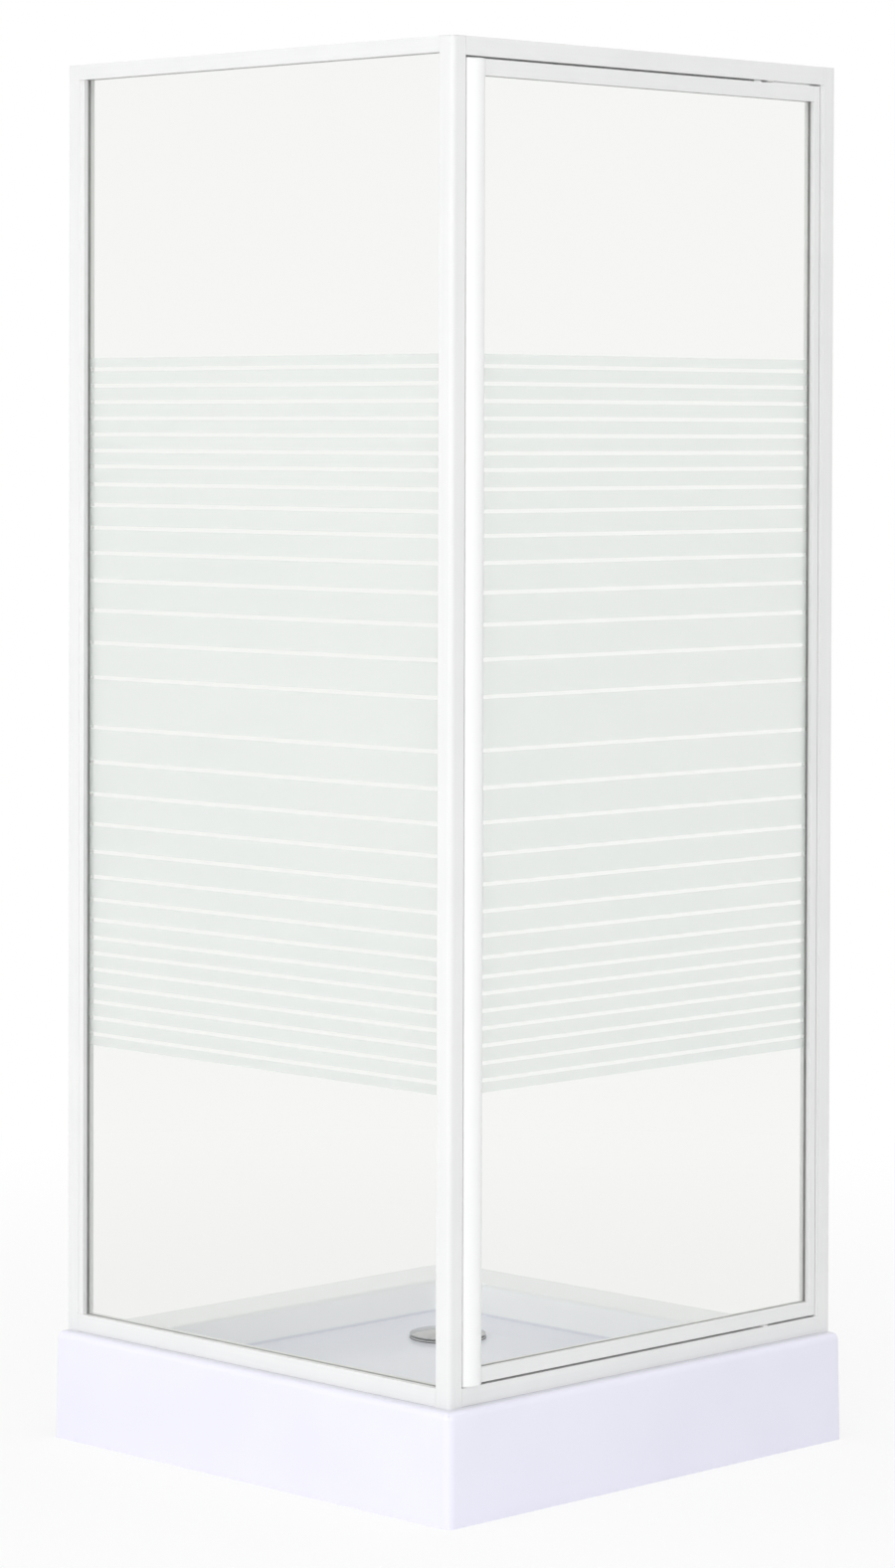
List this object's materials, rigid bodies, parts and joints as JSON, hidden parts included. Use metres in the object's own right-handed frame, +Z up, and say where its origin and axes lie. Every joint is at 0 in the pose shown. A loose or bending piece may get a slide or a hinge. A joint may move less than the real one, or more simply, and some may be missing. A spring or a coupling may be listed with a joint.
{
  "type": "pivot door shower enclosure",
  "caption": "Square corner shower enclosure with a framed pivot door, a fixed framed pane with frosted bands and a low tray with waste.",
  "frame": {"origin": "on the floor under the middle of the tray's footprint", "axes": "+Z up; the walls of the corner stand on the +X and +Y sides; the pivot door is the -Y side and the fixed pane the -X side"},
  "size_m": [0.804, 0.804, 1.984],
  "materials": {
    "white_lacquer": "white polyester lacquer on extruded profile, satin",
    "tray_acrylic": "glossy white acrylic, glass fibre backed",
    "clear_glass": "tempered, with a frosted screen print across the middle",
    "grey_gasket": "soft PVC, matt",
    "clear_seal": "translucent soft PVC",
    "white_nylon": "moulded nylon",
    "white_moulding": "moulded ABS",
    "chromed_cover": "polished",
    "stainless_steel": "plain stainless",
    "zinc_steel": "zinc plated",
    "magnet_strip": "white PVC with magnetic core",
    "waste_plastic": "moulded polypropylene",
    "dark_rubber": "moulded rubber",
    "board": "moisture resistant particle board"
  },
  "bodies": {
    "enclosure": {"tray_shell": "tray_acrylic", "tray_base_board": "board", "foot_bars": "zinc_steel", "centre_foot_plate": "zinc_steel", "foot_rods": "zinc_steel", "foot_lock_nuts": "zinc_steel", "foot_pads": "dark_rubber", "waste_upper_seal": "dark_rubber", "waste_lower_seal": "dark_rubber", "waste_body": "waste_plastic", "waste_flange": "stainless_steel", "frame_key_screws": "stainless_steel", "stile_fixing_screws": "stainless_steel", "corner_post": "white_lacquer", "fixed_wall_profile": "white_lacquer", "door_wall_profile": "white_lacquer", "fixed_wall_stile": "white_lacquer", "fixed_top_rail": "white_lacquer", "fixed_bottom_rail": "white_lacquer", "door_jamb": "white_lacquer", "door_top_rail": "white_lacquer", "door_sill": "white_lacquer", "corner_post_cap": "white_moulding", "wall_profile_caps": "white_moulding", "fixed_glass": "clear_glass", "fixed_gasket_top": "grey_gasket", "fixed_gasket_bottom": "grey_gasket", "fixed_gasket_wall": "grey_gasket", "fixed_gasket_post": "grey_gasket", "stop_strip_top": "clear_seal", "stop_strip_bottom": "clear_seal", "hinge_side_seal": "clear_seal", "post_magnet_strip": "magnet_strip", "frame_corner_keys": "white_nylon", "head_pivot_block": "white_nylon", "sill_pivot_block": "white_nylon", "head_bush": "white_nylon", "sill_bush": "white_nylon"},
    "door": {"leaf_top_rail": "white_lacquer", "leaf_bottom_rail": "white_lacquer", "leaf_handle_stile": "white_lacquer", "handle_stile_caps": "white_moulding", "leaf_hinge_stile": "white_lacquer", "leaf_glass": "clear_glass", "leaf_gasket_top": "grey_gasket", "leaf_gasket_bottom": "grey_gasket", "leaf_gasket_handle": "grey_gasket", "leaf_gasket_hinge": "grey_gasket", "leaf_corner_keys": "white_nylon", "leaf_key_screws": "stainless_steel", "leaf_magnet_strip": "magnet_strip", "leaf_bottom_seal": "clear_seal", "leaf_top_pivot_block": "white_nylon", "leaf_bottom_pivot_block": "white_nylon", "top_pivot_pin": "stainless_steel", "bottom_pivot_pin": "stainless_steel", "pivot_thrust_washer": "white_nylon"},
    "waste_lid": {"trap_cup": "waste_plastic", "waste_cover": "chromed_cover"}
  },
  "joints": [
    {"name": "door_swing", "type": "hinge", "parent": "enclosure", "child": "door", "pos_m": [0.267, -0.368, 1.069], "axis": [0, 0, 1], "range_deg": [0, 90]},
    {"name": "waste_lid_lift", "type": "slide", "parent": "enclosure", "child": "waste_lid", "axis": [0, 0, 1], "range_m": [0, 0.06]}
  ]
}
